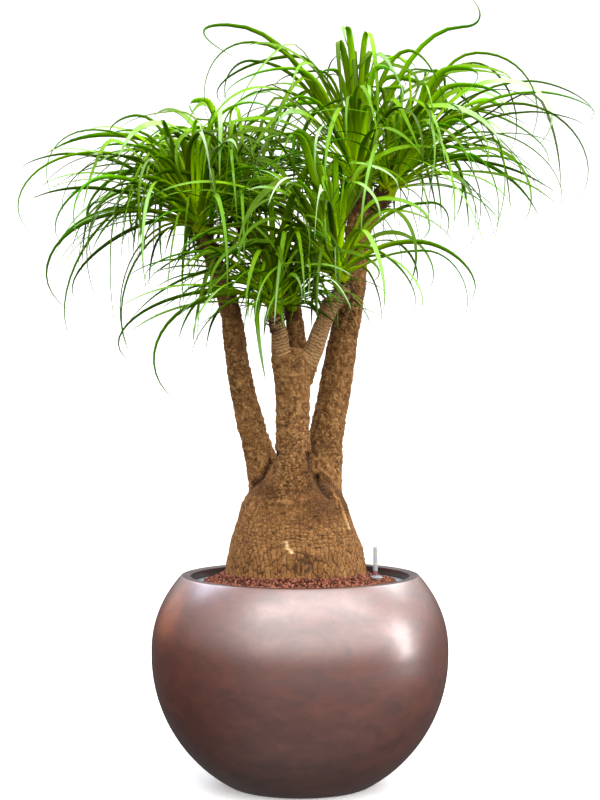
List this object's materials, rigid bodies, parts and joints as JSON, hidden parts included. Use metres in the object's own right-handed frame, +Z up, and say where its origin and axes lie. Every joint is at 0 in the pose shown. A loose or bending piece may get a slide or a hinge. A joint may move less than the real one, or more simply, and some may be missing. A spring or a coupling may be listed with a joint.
{
  "type": "potted ponytail palm",
  "caption": "Ponytail palm with a swollen woody foot, branching stems and arching strap leaves, in a ball-shaped bronze planter with clay granules and a water gauge.",
  "frame": {"origin": "centre of the planter's flat base, on the floor", "axes": "+Z up along the planter's axis, +X to the right and +Y to the back as the plant is looked at from its front"},
  "size_m": [0.9755, 0.76, 1.331],
  "materials": {
    "planter_lacquer": "satin",
    "liner_plastic": "satin",
    "clay_granules": "matte",
    "bark": "matte",
    "gauge_clear": "gloss",
    "gauge_red": "satin",
    "leaf": "satin"
  },
  "bodies": {
    "plant": {"planter": "planter_lacquer", "liner": "liner_plastic", "substrate": "clay_granules", "trunk": "bark", "gauge_tube": "gauge_clear", "crown_left": "leaf", "crown_back_left": "leaf", "crown_low_left": "leaf", "crown_middle": "leaf", "crown_low_right": "leaf", "crown_top": "leaf", "crown_right": "leaf"},
    "float": {"gauge_float": "gauge_red"}
  },
  "joints": [
    {"name": "float_rise", "type": "slide", "parent": "plant", "child": "float", "axis": [0, 0, 1], "range_m": [0, 0.04]}
  ]
}
